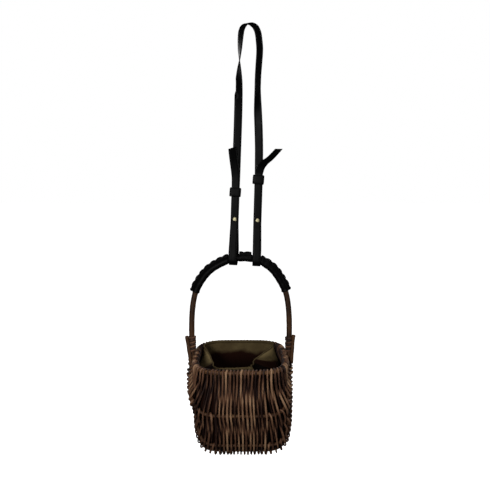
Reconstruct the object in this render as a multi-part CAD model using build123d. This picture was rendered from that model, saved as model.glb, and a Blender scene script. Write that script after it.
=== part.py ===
"""Willow frame basket for picking fruit, hung from a looped leather strap.

A round hoop is both the carrying handle and the keel of the basket. A rim hoop and four ribs
spring from the two joints where the rim crosses it, and the walls are woven over them. A cloth
liner hangs inside. A long strap passes twice under the laced leather grip, and each of its ends
comes back up its own leg, held by a screw stud and a sliding keeper.

Millimetres. Origin under the crown of the strap, where a hook or a shoulder carries it:
+X to the basket's right, -Y to its front, +Z up.
"""

import math
import os

from build123d import *

# ---- driving dimensions -------------------------------------------------------------------
RIM_Z = -829.0  # rim hoop's centre plane
BASKET_X = -22.8  # the basket hangs a little to the left of the strap's crown

HOOP_R = 7.4  # handle and keel rod, radius
RIM_R = 5.0
RIB_R = 4.0
WEAVER = 5.0  # willow weaver, diameter

RIM_W, KEEL_W = 113.8, 126.3  # half-widths of the rim and of the keel
RIM_DEPTH, KEEL_DEPTH = 113.0, 257.0  # half-depth of the rim, depth of the keel
UPPER_RIB_DEG, LOWER_RIB_DEG = 49.0, 73.5  # rib planes, turned down from the rim about X
LEFT_TUCK = 12.0  # how far the basket's left side is drawn in below its shoulder

GRIP_R = 9.6
FLANGE_TOP = 16.4
FLANGE_HALF = 2.4
LACE = 3.2
LACE_PITCH = 17.0
LACE_LOW = 11.2  # how near the handle's middle the lace pierces the flange
GRIP_ENDS = ((-117.4, 173.0), (117.2, 179.0))  # x and z of the grip's ends, from the rim's middle

STRAP_W, STRAP_T = 20.5, 2.6
STRAP_GAP = 0.3  # between the two layers of a doubled leg
LOOP_R = 13.4  # inner radius of the strap's loops under the grip
LEFT_LOOP = (-40.9, -569.4)  # x and z of each loop's centre, on the swing axis
RIGHT_LOOP = (17.2, -572.1)
LEFT_SPLAY, RIGHT_SPLAY = (-1.9, 2.6), (0.3, 2.2)  # of a loop's front and back ends, in x
LEFT_TAIL_END, RIGHT_TAIL_END = -292.0, -294.0  # heights at which the tails are cut off
SWING_DROP = (RIGHT_LOOP[1] - LEFT_LOOP[1]) / (RIGHT_LOOP[0] - LEFT_LOOP[0])

STUD_HEAD_R = 5.0
STUD_BARREL_R = 2.2
SCREW_R = 1.5
LEFT_STUD_Z, RIGHT_STUD_Z = -468.0, -471.0

KEEPER_CLEAR = 0.3
KEEPER_SLACK = 1.7  # room beside the strap's left edge
KEEPER_WALL = 3.0
LEFT_KEEPER = (-400.5, 22.6)  # centre height and length along the strap
RIGHT_KEEPER = (-369.3, 23.2)

LINER_T = 2.4


def at(x, y, z):
    """A point given from the middle of the rim plane, as a row-frame point."""
    return Vector(x + BASKET_X, y, z + RIM_Z)


def smooth(t):
    t = min(1.0, max(0.0, t))
    return t * t * (3 - 2 * t)


# ---- the basket's form --------------------------------------------------------------------
def tucked(x, y, z):
    """Draws the left side in below its shoulder, as the hoop is bent."""
    share = max(0.0, -x / KEEL_W)
    return at(x + LEFT_TUCK * share * smooth((-90 - z) / 60), y, z)


def guide_size(beta, out=0.0):
    """Half-width, depth and squareness of the guide line in the plane turned beta radians
    down from the rim about X, drawn out by a distance."""
    turned = math.sin(beta) ** 2
    width = RIM_W + (KEEL_W - RIM_W) * turned
    depth = 1 / math.hypot(math.cos(beta) / RIM_DEPTH, math.sin(beta) / KEEL_DEPTH)
    return width + out, depth + out, 4.0 + 3.0 * turned


def form(beta_deg, tau, out=0.0, side=-1):
    """A point of the basket's surface. tau runs along a guide line from 0 at the left joint
    to pi at the right one, and side is -1 at the front and 1 at the back."""
    beta = math.radians(beta_deg)
    width, depth, square = guide_size(beta, out)
    c, s = math.cos(tau), math.sin(tau)
    reach = (abs(c) ** square + abs(s) ** square) ** (1 / square)
    r = s / reach * depth
    return tucked(-c / reach * width, side * r * math.cos(beta), -r * math.sin(beta))


def tau_at(beta_deg, radius, out=0.0):
    """The smallest tau at which a guide line is a given distance from the X axis."""
    _, depth, square = guide_size(math.radians(beta_deg), out)
    share = radius / depth
    return math.atan2(share, (1 - share ** square) ** (1 / square))


def guide(beta, first, last, count, side=-1):
    """Evenly turned points along a guide line."""
    return [form(beta, first + (last - first) * i / (count - 1), 0.0, side)
            for i in range(count)]


# ---- rods ---------------------------------------------------------------------------------
def bent(points):
    """Straight runs joined by tangent arcs that are as large as the runs allow."""
    radii = []
    for a, b, c in zip(points, points[1:], points[2:]):
        turn = math.radians((b - a).get_angle(c - b))
        radii.append(0.48 * min((b - a).length, (c - b).length) / math.tan(turn / 2))
    return Wire(FilletPolyline(*points, radius=radii).edges())


def rod(path, radius):
    start = Plane(origin=path @ 0, z_dir=path % 0)
    return sweep(start * Circle(radius), path=path)


def handle_points():
    """The handle's bends, from the left joint over the crown to the right joint."""
    return [at(x, 0, z) for x, z in (
        (-KEEL_W, 10), (-KEEL_W, 157), (-89.8, 223.6), (-46.8, 251.2), (-9.5, 262.7),
        (26, 262.7), (64, 248.1), (91.5, 223.8), (KEEL_W, 159), (KEEL_W, 10))]


def keel_points():
    shoulder = tau_at(90, 40)
    return guide(90, shoulder, math.pi - shoulder, 21)


def flowing(points, first=None, last=None):
    """A smooth line through points, with the given end directions."""
    ends = (first, last) if first else None
    return Wire([Edge.make_spline(points, tangents=ends)])


def handle_path():
    return bent(handle_points())


def main_hoop():
    """One rod: the handle, both its legs, and the keel."""
    legs = [[at(x, 0, z) for z in (10, -10)] for x in (-KEEL_W, KEEL_W)]
    line = legs[0] + keel_points() + legs[1][::-1]
    lower = flowing(line, Vector(0, 0, -1), Vector(0, 0, 1))
    return rod(handle_path(), HOOP_R) + rod(lower, HOOP_R)


def rim_hoop():
    halves = []
    for side in (-1, 1):
        away = Vector(0, side, 0)
        halves.append(rod(flowing(guide(0, 0, math.pi, 19, side), away, -away), RIM_R))
    return halves[0] + halves[1]


def rib(beta, side):
    start = tau_at(beta, 20 if beta < 60 else 44)
    return rod(flowing(guide(beta, start, math.pi - start, 15, side)), RIB_R)


def left_side_stake():
    return rod(Wire([Edge.make_line(at(-138.9, -10.2, 60), at(-128.3, -16, -12))]), 4.6)


def right_side_stake():
    top = at(136.4, -12.7, 63)
    return rod(Wire([Edge.make_line(top, at(131.8, -14, -12))]), 4.4) + Pos(*top) * Sphere(5.6)


def lashing(x):
    """A weaver wound closely round one leg, just above the rim, as one ribbed sleeve."""
    turns, pitch, low = 10, 4.2, 13.0
    groove, ridge = 1.6, 2.7
    with BuildPart() as sleeve:
        with BuildSketch(Plane.XZ):
            with BuildLine():
                profile = [(HOOP_R, low)]
                for i in range(turns):
                    z = low + i * pitch
                    profile += [(HOOP_R + groove, z), (HOOP_R + ridge, z + 0.3 * pitch),
                                (HOOP_R + ridge, z + 0.7 * pitch)]
                profile += [(HOOP_R + groove, low + turns * pitch), (HOOP_R, low + turns * pitch)]
                Polyline(*profile, close=True)
            make_face()
        revolve(axis=Axis.Z)
    return Pos(*at(x, 0, 0)) * sleeve.part


# ---- the woven walls ----------------------------------------------------------------------
def wall_section(beta, half, side, lift=0.0):
    """The woven wall cut by a guide plane: a closed band along the guide line."""
    out_start = tau_at(beta, 17, half)
    in_start = tau_at(beta, 17, -half)
    outer = [form(beta, out_start + (math.pi - 2 * out_start) * i / 24, half, side)
             for i in range(25)]
    inner = [form(beta, in_start + (math.pi - 2 * in_start) * i / 24, -half, side)
             for i in range(25)]
    up = Vector(0, 0, lift)
    outer, inner = [p + up for p in outer], [p + up for p in inner]
    edges = [Edge.make_spline(outer), Edge.make_line(outer[-1], inner[-1]),
             Edge.make_spline(inner[::-1]), Edge.make_line(inner[0], outer[0])]
    return Face(Wire(edges))


def woven_wall(side, rods):
    """One half of the weaving: thick where it wraps the rim, the ribs and the keel."""
    stations = ((0, 9.5, 9.5), (0, 9.5, 0), (14, 7.0, 0), (32, 6.5, 0), (UPPER_RIB_DEG, 8.5, 0),
                (61, 6.5, 0), (LOWER_RIB_DEG, 8.5, 0), (82, 8.5, 0), (90, HOOP_R + WEAVER, 0))
    wall = loft([wall_section(beta, half, side, lift) for beta, half, lift in stations],
                ruled=True)
    for piece in rods:
        wall = wall - piece
    return wall


# ---- the liner ----------------------------------------------------------------------------
def bag_level(z, width, depth, square):
    """A closed, squarish loop at one height; the left side follows the tucked wall."""
    points = []
    for i in range(24):
        a = 2 * math.pi * (i + 0.5) / 24
        c, s = math.cos(a), math.sin(a)
        x = math.copysign(abs(c) ** (2 / square), c) * width
        y = math.copysign(abs(s) ** (2 / square), s) * depth
        points.append(tucked(x, y, z))
    return Face(Wire([Edge.make_spline(points, periodic=True)]))


LINER_LEVELS = (  # height, half-width, half-depth, squareness
    (5, 100, 98, 4), (-30, 102, 97, 4), (-90, 106, 90, 4), (-140, 108, 79, 4),
    (-182, 106, 63, 4), (-214, 99, 43, 3.5), (-231, 83, 23, 3))


def liner():
    """The cloth bag: an open-topped sack that follows the wall a few millimetres inside it."""
    outer = loft([bag_level(*level) for level in LINER_LEVELS])
    inner_levels = [(z, w - LINER_T, d - LINER_T, n) for z, w, d, n in LINER_LEVELS]
    inner_levels[0] = (LINER_LEVELS[0][0] + 1, *inner_levels[0][1:])
    inner_levels[-1] = (LINER_LEVELS[-1][0] + LINER_T, *inner_levels[-1][1:])
    return outer - loft([bag_level(*level) for level in inner_levels])


def liner_hem():
    """The bound edge that stiffens the mouth of the liner."""
    z, w, d, n = LINER_LEVELS[0]
    roll = 1.4
    bounds = []
    for grow in (0.0, -LINER_T):
        bounds.append(bag_level(z, w + grow, d + grow, n))
    band = bounds[0] - bounds[1]
    return extrude(band, 2 * roll, dir=(0, 0, 1))


# ---- grip ---------------------------------------------------------------------------------
def hinge_point(x):
    """The point of the swing axis at a given x."""
    return Vector(x, 0, LEFT_LOOP[1] + SWING_DROP * (x - LEFT_LOOP[0]))


def along_grip(path, share):
    """A plane across the grip: x out of the arch, y to the back, z along the handle."""
    tangent = path % share
    return Plane(origin=path @ share, x_dir=(-tangent.Z, 0, tangent.X), z_dir=tangent)


def grip_path():
    whole = handle_path()
    return whole.trim(*(grip_share(whole, end) for end in GRIP_ENDS))


def grip_share(path, place):
    """Where along the handle a given place is, as a share of its length."""
    goal = at(place[0], 0, place[1])
    return min((i / 800 for i in range(801)), key=lambda u: (path @ u - goal).length)


def loop_room():
    """Everything further from the swing axis than the loops allow, at both loops."""
    room = None
    for x, _ in (LEFT_LOOP, RIGHT_LOOP):
        here = Plane(origin=hinge_point(x), z_dir=hinge_point(x + 1) - hinge_point(x))
        ring = Cylinder(40, STRAP_W + 6.5) - Cylinder(LOOP_R - 0.4, STRAP_W + 8)
        ring = here * ring
        room = ring if room is None else room + ring
    return room


def flange_box(plane, low, high, half, long):
    return plane * Pos((low + high) / 2, 0, 0) * Box(high - low, 2 * half, long)


def stitch_places(path):
    """Shares of the grip's length where a lace crosses the flange, clear of the loops."""
    count = round(path.length / LACE_PITCH)
    places = []
    for i in range(count):
        share = (i + 0.5) / count
        x = (path @ share).X
        if all(abs(x - loop[0]) > STRAP_W / 2 + 6.5 for loop in (LEFT_LOOP, RIGHT_LOOP)):
            places.append(share)
    return places


def grip(path):
    """The leather sleeve with its upstanding seam flange, and the lace that closes it."""
    across = along_grip(path, 0)
    tube = Circle(GRIP_R) + Pos((GRIP_R + FLANGE_TOP) / 2 - 1, 0) * Rectangle(
        FLANGE_TOP - GRIP_R + 2, 2 * FLANGE_HALF)
    sleeve = sweep(across * tube, path=path) - rod(path, HOOP_R + 0.05) - loop_room()
    laces = []
    for share in stitch_places(path):
        plane = along_grip(path, share)
        hole = flange_box(plane, LACE_LOW, LACE_LOW + 1.6, FLANGE_HALF + 1, LACE)
        sleeve = sleeve - hole
        loop = flange_box(plane, LACE_LOW, FLANGE_TOP + 1.0, FLANGE_HALF + 1, LACE)
        laces.append(loop - flange_box(plane, LACE_LOW + 1.6, FLANGE_TOP, FLANGE_HALF, 2 * LACE))
    return sleeve, Compound(laces)


# ---- strap --------------------------------------------------------------------------------
def leg_x(z, left):
    """The two legs lean a little: x of a leg at a height."""
    low, lean = (LEFT_LOOP, 0.036) if left else (RIGHT_LOOP, 0.0275)
    return low[0] + lean * (z - low[1])


def loop_turn(loop, splay):
    """Stations round the bottom of a loop, square to the swing axis, from front to back.
    splay is how far its two ends stand off the leg's line, front and back."""
    r = LOOP_R + STRAP_T / 2
    stations = []
    for i in range(9):
        a = math.pi * i / 8
        x = loop[0] + SWING_DROP * r * math.sin(a) + splay[0] + (splay[1] - splay[0]) * i / 8
        stations.append((x, -r * math.cos(a), loop[1] - r * math.sin(a), 0))
    return stations


def strap_route():
    """Stations of the strap's middle line, as x, y, z and the turn of its width about Z:
    up from nothing at the left tail's tip, round the left loop, over the crown, down the
    right leg, round the right loop and out to the right tail's tip."""
    half = (STRAP_T + STRAP_GAP) / 2

    def rise(left, front):
        """The doubled part of a leg, from its loop up to its keeper."""
        keeper = LEFT_KEEPER if left else RIGHT_KEEPER
        heights = ((-548, 12.6, 1.15), (-520, 7.2, 0.72), (-500, 3.4, 0.4), (-486, 1.9, 0.12),
                   (-474, half + 0.03, 0), (-462, half, 0), (-440, half, 0), (-410, half, 0),
                   (keeper[0] + keeper[1] / 2 + 2, half, 0))
        sign = -1 if front else 1
        spread = (LEFT_SPLAY if left else RIGHT_SPLAY)[0 if front else 1]
        return [(leg_x(z, left) + share * spread, sign * y, z, 0) for z, y, share in heights]

    left_tail = [(-43.6, -14.0, -283, 26), (-40.4, -9.2, -312, 16), (-36.2, -4.2, -343, 6),
                 (-34.2, -1.9, -364, 1)]
    left_leg = [(-33.0, half, -355, 0), (-31.0, 1.3, -300, 2), (-29.0, 0.8, -245, 3),
                (-27.6, 0.0, -200, 6), (-26.8, -2.0, -165, 14), (-26.0, -4.0, -135, 34),
                (-25.2, -6.0, -108, 62), (-24.2, -8.0, -84, 92), (-23.4, -10.0, -60, 116),
                (-22.0, -11.5, -36, 128), (-19.4, -11.3, -17, 133)]
    crown = [(-14.2, -8.8, -5.6, 135), (-7.3, -4.6, -0.2, 135), (0, 0, 1.3, 135),
             (7.4, 4.6, -0.2, 135), (14.6, 8.8, -5.6, 135)]
    right_leg = [(20.0, 11.4, -17, 136), (23.0, 11.8, -36, 138), (24.4, 11.0, -58, 139),
                 (22.6, 9.0, -88, 138), (20.6, 7.0, -118, 135), (19.6, 4.6, -150, 133),
                 (19.8, 2.6, -178, 144), (20.6, 1.0, -208, 166), (22.2, 0.9, -245, 175),
                 (23.4, 1.2, -290, 178), (23.3, half, -330, 180)]
    right_tail = [(24.6, -2.6, -349, 3), (29.0, -5.2, -337, 11), (37.6, -8.6, -327, 22),
                  (49.6, -12.0, -317.5, 32), (62.8, -15.0, -304, 37), (76.0, -17.5, -289, 40),
                  (85.5, -19.5, -276, 42)]
    route = left_tail + rise(True, True)[::-1] + loop_turn(LEFT_LOOP, LEFT_SPLAY) + rise(True, False)
    route += left_leg + crown + right_leg
    route += [(x, y, z, 180) for x, y, z, _ in rise(False, False)[::-1]]
    route += [(x, -y, z, 180) for x, y, z, _ in loop_turn(RIGHT_LOOP, RIGHT_SPLAY[::-1])]
    route += [(x, y, z, 180) for x, y, z, _ in rise(False, True)]
    route += [(x, y, z, 180 + turn) for x, y, z, turn in right_tail]
    return route


def strap_stations(step=7.0):
    """The route smoothed by a Catmull-Rom line and divided evenly."""
    route = [Vector(x, y, z) for x, y, z, _ in strap_route()]
    turns = [turn for *_, turn in strap_route()]
    found = []
    for i in range(len(route) - 1):
        before, after = max(i - 1, 0), min(i + 2, len(route) - 1)
        a, b = route[i], route[i + 1]
        long = (b - a).length
        start = (b - route[before]) * (long / (b - route[before]).length)
        end = (route[after] - a) * (long / (route[after] - a).length)
        parts = max(1, round(long / step))
        for k in range(parts):
            t = k / parts
            h00, h10 = 2 * t**3 - 3 * t**2 + 1, t**3 - 2 * t**2 + t
            h01, h11 = 3 * t**2 - 2 * t**3, t**3 - t**2
            place = a * h00 + start * h10 + b * h01 + end * h11
            found.append((place, turns[i] + (turns[i + 1] - turns[i]) * t))
    found.append((route[-1], turns[-1]))
    return found


def strap_section(place, turn, tangent):
    """The strap's flat section, with its width turned about Z and square to its length."""
    c, s = math.cos(math.radians(turn)), math.sin(math.radians(turn))
    wide = Vector(c, s, SWING_DROP * c)
    wide = (wide - tangent * wide.dot(tangent)).normalized()
    plane = Plane(origin=place, x_dir=wide, z_dir=tangent)
    corners = [(-STRAP_W / 2, -STRAP_T / 2), (STRAP_W / 2, -STRAP_T / 2),
               (STRAP_W / 2, STRAP_T / 2), (-STRAP_W / 2, STRAP_T / 2)]
    return Face(Wire.make_polygon([plane.from_local_coords(Vector(*c)) for c in corners]))


def strap():
    stations = strap_stations()
    sections = []
    for i, (place, turn) in enumerate(stations):
        before, after = stations[max(i - 1, 0)][0], stations[min(i + 1, len(stations) - 1)][0]
        sections.append(strap_section(place, turn, (after - before).normalized()))
    band = loft(sections, ruled=True)
    left_trim = Plane(origin=(-45, 0, LEFT_TAIL_END), z_dir=(-0.35, 0, 1))
    band = band - left_trim * Pos(0, -22, 15) * Box(60, 38, 30)
    band = band - Pos(90, -20, RIGHT_TAIL_END + 20) * Box(80, 60, 40)
    for x, z in stud_places():
        for y in (-5, 5):
            band = band - Pos(x, y, z) * Rot(X=90) * Cylinder(STUD_BARREL_R + 0.15, 9.9)
    return band


# ---- studs and keepers --------------------------------------------------------------------
def stud_places():
    return [(leg_x(LEFT_STUD_Z, True), LEFT_STUD_Z), (leg_x(RIGHT_STUD_Z, False), RIGHT_STUD_Z)]


def strap_face():
    """Half the thickness of a doubled leg."""
    return STRAP_T + STRAP_GAP / 2


def turned_part(profile, place):
    """A part turned about Y: its profile gives radius and distance towards the back."""
    outline = Plane.XY * make_face(Polyline(*profile, close=True))
    return Pos(place[0], 0, place[1]) * revolve(outline, axis=Axis.Y)


def stud_post(place):
    """A domed, slotted head at the front on a hollow barrel through both layers."""
    y = strap_face()
    post = turned_part(((SCREW_R, -y), (SCREW_R, y - 0.2), (STUD_BARREL_R, y - 0.2),
                        (STUD_BARREL_R, -y - 0.15), (STUD_HEAD_R, -y - 0.15),
                        (STUD_HEAD_R, -y - 0.7), (3.8, -y - 1.5), (0, -y - 1.8),
                        (0, -y - 0.8), (SCREW_R, -y - 0.8)), place)
    slot = Pos(place[0], -y - 1.8, place[1]) * Rot(Y=35) * Box(2 * STUD_HEAD_R, 1.3, 1.0)
    return post - slot


def stud_screw(place):
    """The screw that enters the barrel from the back."""
    y = strap_face()
    screw = turned_part(((0, -y - 0.6), (SCREW_R, -y - 0.6), (SCREW_R, y + 0.15),
                         (STUD_HEAD_R - 0.6, y + 0.15), (STUD_HEAD_R - 0.6, y + 0.6),
                         (3.2, y + 1.3), (0, y + 1.4)), place)
    slot = Pos(place[0], y + 1.5, place[1]) * Rot(Y=-20) * Box(2 * STUD_HEAD_R, 1.2, 1.0)
    return screw - slot


def leg_plane(left, z):
    """A plane across a leg at a height: x across the strap, z up the leg."""
    up = Vector(leg_x(z + 1, left) - leg_x(z, left), 0, 1)
    return Plane(origin=(leg_x(z, left), 0, z), x_dir=(up.Z, 0, -up.X), z_dir=up)


def keeper(left):
    """A leather band that slides on the doubled strap."""
    z, long = LEFT_KEEPER if left else RIGHT_KEEPER
    wide, deep = STRAP_W + KEEPER_CLEAR + KEEPER_SLACK, 2 * strap_face() + 2 * KEEPER_CLEAR
    ring = RectangleRounded(wide + 2 * KEEPER_WALL, deep + 2 * KEEPER_WALL, KEEPER_WALL)
    ring = ring - Rectangle(wide, deep)
    return leg_plane(left, z) * Pos((KEEPER_CLEAR - KEEPER_SLACK) / 2, 0, -long / 2) * extrude(ring, long)


# ---- output -------------------------------------------------------------------------------
def main():
    os.makedirs("parts", exist_ok=True)
    hoop, rim = main_hoop(), rim_hoop()
    nodes = {"main_hoop": hoop, "rim_hoop": rim}
    for where, side in (("front", -1), ("back", 1)):
        nodes[f"{where}_upper_rib"] = rib(UPPER_RIB_DEG, side)
        nodes[f"{where}_lower_rib"] = rib(LOWER_RIB_DEG, side)
    nodes["left_side_stake"] = left_side_stake()
    nodes["right_side_stake"] = right_side_stake()
    for where, side in (("front", -1), ("back", 1)):
        rods = [hoop, rim, nodes[f"{where}_upper_rib"], nodes[f"{where}_lower_rib"]]
        if side < 0:
            rods += [nodes["left_side_stake"], nodes["right_side_stake"]]
        nodes[f"{where}_weave"] = woven_wall(side, rods)
    nodes["left_lashing"], nodes["right_lashing"] = lashing(-KEEL_W), lashing(KEEL_W)
    nodes["liner"], nodes["liner_hem"] = liner(), liner_hem()
    nodes["grip_sleeve"], nodes["grip_lacing"] = grip(grip_path())
    nodes["strap"] = strap()
    for name, place in zip(("left", "right"), stud_places()):
        nodes[f"{name}_stud_post"] = stud_post(place)
        nodes[f"{name}_stud_screw"] = stud_screw(place)
        nodes[f"{name}_keeper"] = keeper(name == "left")
    for name, shape in nodes.items():
        export_step(shape, f"parts/{name}.step")


main()
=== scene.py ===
"""Looks of the willow picking basket: woven willow, cloth liner, laced leather grip and strap.

Lengths in this script are in millimetres in the row frame, and meshes are made in metres.
"""

import math
import random

import bmesh
import bpy
import numpy as np
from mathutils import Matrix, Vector, noise
from mathutils.bvhtree import BVHTree


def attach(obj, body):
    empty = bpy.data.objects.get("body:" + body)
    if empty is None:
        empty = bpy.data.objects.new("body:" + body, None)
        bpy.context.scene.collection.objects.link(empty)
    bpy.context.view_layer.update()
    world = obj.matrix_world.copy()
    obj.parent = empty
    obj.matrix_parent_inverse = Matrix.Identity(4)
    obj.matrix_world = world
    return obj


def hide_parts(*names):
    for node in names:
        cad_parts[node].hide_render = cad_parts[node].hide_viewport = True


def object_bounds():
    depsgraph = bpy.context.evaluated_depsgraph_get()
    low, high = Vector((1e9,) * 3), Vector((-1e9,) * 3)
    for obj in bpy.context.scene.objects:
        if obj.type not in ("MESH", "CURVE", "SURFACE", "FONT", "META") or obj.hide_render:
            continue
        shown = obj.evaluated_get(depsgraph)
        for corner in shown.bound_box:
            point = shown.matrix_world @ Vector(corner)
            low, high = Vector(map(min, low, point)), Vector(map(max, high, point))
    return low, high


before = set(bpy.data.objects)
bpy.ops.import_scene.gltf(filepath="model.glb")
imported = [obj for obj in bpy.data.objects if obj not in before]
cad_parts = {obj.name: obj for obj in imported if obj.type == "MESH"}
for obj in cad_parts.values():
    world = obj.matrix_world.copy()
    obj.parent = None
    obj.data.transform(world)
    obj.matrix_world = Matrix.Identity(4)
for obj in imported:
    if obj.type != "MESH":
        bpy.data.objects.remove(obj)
cad_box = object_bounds()
rng = random.Random(7)

# ---- driving dimensions, as in the CAD --------------------------------------------------
MM = 0.001
RIM_Z, BASKET_X = -829.0, -22.8
HOOP_R, RIM_R, RIB_R = 7.4, 5.0, 4.0
RIM_W, KEEL_W = 113.8, 126.3
RIM_DEPTH, KEEL_DEPTH = 113.0, 257.0
UPPER_RIB, LOWER_RIB, KEEL = 49.0, 73.5, 90.0
LEFT_TUCK = 12.0
GRIP_R, FLANGE_TOP = 9.6, 16.4
GRIP_ENDS = ((-117.4, 173.0), (117.2, 179.0))
STRAP_W, STRAP_T, STRAP_GAP = 20.5, 2.6, 0.3
LOOP_R = 13.4
LEFT_LOOP, RIGHT_LOOP = (-40.9, -569.4), (17.2, -572.1)
LEFT_SPLAY, RIGHT_SPLAY = (-1.9, 2.6), (0.3, 2.2)
LEFT_LEAN, RIGHT_LEAN = 0.036, 0.0275  # of the strap's legs, sideways for each unit up
LEFT_TAIL_END, RIGHT_TAIL_END = -292.0, -294.0
SWING_DROP = (RIGHT_LOOP[1] - LEFT_LOOP[1]) / (RIGHT_LOOP[0] - LEFT_LOOP[0])
LEFT_KEEPER, RIGHT_KEEPER = (-400.5, 22.6), (-369.3, 23.2)
KEEPER_SHIFT, KEEPER_TILT = 0.7, 0.045  # how far a keeper sits to the left, and how askew
LOOP_SPARE, LOOP_RAMP = 2.2, 1.4  # how far beside the strap the seam is cut back, and over what
LOOP_SQUEEZE = 1.2  # how much thinner the grip is inside the strap's loops
STITCH_PITCH, LACE_MIDDLE = 17.0, 12.0  # about how far apart the stitches are, and how far out
BAND = 20.0  # depth of the liner's olive band below its mouth; the dark brown below it is partly painted shade
HOLLOW = 300.0  # the "drop" from which the cloth is nearly black: painted shadow in the gaps beside its mouth
LEFT_BULGE = 4.5  # how far the left shoulder swells above the tuck

WEAVER_R = 2.4  # at the middle of a weaver; its butt is thicker and its tip thinner


# ---- small helpers ----------------------------------------------------------------------
def at(x, y, z):
    return np.array([x + BASKET_X, y, z + RIM_Z], float)


def smooth(t):
    t = np.clip(t, 0, 1)
    return t * t * (3 - 2 * t)


def unit(rows):
    """Vectors, one in each row, scaled to length 1."""
    return rows / np.linalg.norm(rows, axis=1)[:, None]


def tangents(line):
    return unit(np.gradient(line, axis=0))


def squared(wave, power):
    """A sine or cosine pushed towards a square wave, more so for smaller powers."""
    return np.sign(wave) * np.abs(wave) ** power


def wander(*place):
    """Smooth noise at points; each of the three coordinates is a number or an array."""
    points = np.stack(np.broadcast_arrays(*place), -1)
    found = [noise.noise(Vector(point)) for point in points.reshape(-1, 3)]
    return np.reshape(found, points.shape[:-1])


def runs(line):
    """Distance along a line at each of its points."""
    return np.concatenate([[0], np.cumsum(np.linalg.norm(np.diff(line, axis=0), axis=1))])


def resampled(line, values, step):
    """A line and the values along it at even steps."""
    run = runs(line)
    even = np.linspace(0, run[-1], max(2, round(run[-1] / step)) + 1)
    place = np.stack([np.interp(even, run, line[:, k]) for k in range(3)], 1)
    return place, [np.interp(even, run, v) for v in values]


def relaxed(line, times=1):
    """A line with its small corners eased; its ends stay."""
    line = line.copy()
    for _ in range(times):
        line[1:-1] = 0.25 * line[:-2] + 0.5 * line[1:-1] + 0.25 * line[2:]
    return line


def rounded(points, step=3.0):
    """A line that touches the middle of every run of a control polygon and follows its ends."""
    points = [np.array(p, float) for p in points]
    pieces = [points[:1]]
    for a, b, c in zip(points, points[1:], points[2:]):
        first, last = (a + b) / 2, (b + c) / 2
        t = np.linspace(0, 1, 17)[:, None]
        pieces.append((1 - t) ** 2 * first + 2 * t * (1 - t) * b + t ** 2 * last)
    pieces.append(points[-1:])
    return resampled(np.concatenate(pieces), [], step)[0]


def add_mesh(name, verts, faces, uvs=None, values=None, smooth_faces=True):
    """A mesh object from millimetres; uvs are given per vertex, values are named numbers."""
    mesh = bpy.data.meshes.new(name)
    mesh.from_pydata((np.asarray(verts) * MM).tolist(), [], faces)
    if uvs is not None:
        layer = mesh.uv_layers.new(name="UVMap")
        corner = np.zeros(len(mesh.loops), np.int32)
        mesh.loops.foreach_get("vertex_index", corner)
        layer.data.foreach_set("uv", np.asarray(uvs, np.float32)[corner].ravel())
    for key, numbers in (values or {}).items():
        attribute = mesh.attributes.new(key, "FLOAT", "POINT")
        attribute.data.foreach_set("value", np.asarray(numbers, np.float32))
    mesh.polygons.foreach_set("use_smooth", [smooth_faces] * len(mesh.polygons))
    mesh.update()
    piece = bpy.data.objects.new(name, mesh)
    bpy.context.scene.collection.objects.link(piece)
    return piece


def carried(line, first_side):
    """Tangents, and a side vector carried along a line without twisting."""
    tangent = tangents(line)
    side = np.zeros_like(line)
    now = np.array(first_side, float)
    for i, t in enumerate(tangent):
        now = now - t * now.dot(t)
        now /= np.linalg.norm(now)
        side[i] = now
    return tangent, side


def tube(line, radii, sides=8, first_side=(0.3, 0.2, 1.0), v_start=0.0, capped=True):
    """Verts, faces and uvs of a round tube. u is round it and v along it in metres; the uv
    seam is doubled so that the pattern closes."""
    tangent, side = carried(line, first_side)
    other = np.cross(tangent, side)
    angle = np.linspace(0, 2 * math.pi, sides, endpoint=False)
    ring = side[:, None] * np.cos(angle)[None, :, None] + other[:, None] * np.sin(angle)[None, :, None]
    radii = np.broadcast_to(radii, len(line))
    verts = (line[:, None] + ring * np.asarray(radii)[:, None, None]).reshape(-1, 3)
    faces = ring_faces(len(line), sides)
    run = runs(line) * MM + v_start
    uvs = np.stack([np.tile(np.abs(angle / math.pi - 1), len(line)), np.repeat(run, sides)], 1)
    if capped:
        faces += [list(range(sides))[::-1], list(range((len(line) - 1) * sides, len(line) * sides))]
    return verts, faces, uvs


def ring_faces(rings, sides, closed=True, offset=0, looped=False):
    """Quads between successive rings of vertices, and back to the first ring if looped."""
    quads = []
    for i in range(rings if looped else rings - 1):
        here, there = offset + i * sides, offset + (i + 1) % rings * sides
        quads += [[here + k, here + (k + 1) % sides, there + (k + 1) % sides, there + k]
                  for k in range(sides if closed else sides - 1)]
    return quads


def flat_uvs(verts):
    """uvs in metres, seen from the front."""
    return np.stack([verts[:, 0], verts[:, 2]], 1) * MM


def finished(piece, body, slot, material, *nodes):
    """Gives a piece its body, its finish and the CAD nodes it stands for."""
    piece.data.materials.clear()
    piece.data.materials.append(material)
    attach(piece, body)
    if nodes:
        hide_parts(*nodes)
    return piece


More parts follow.
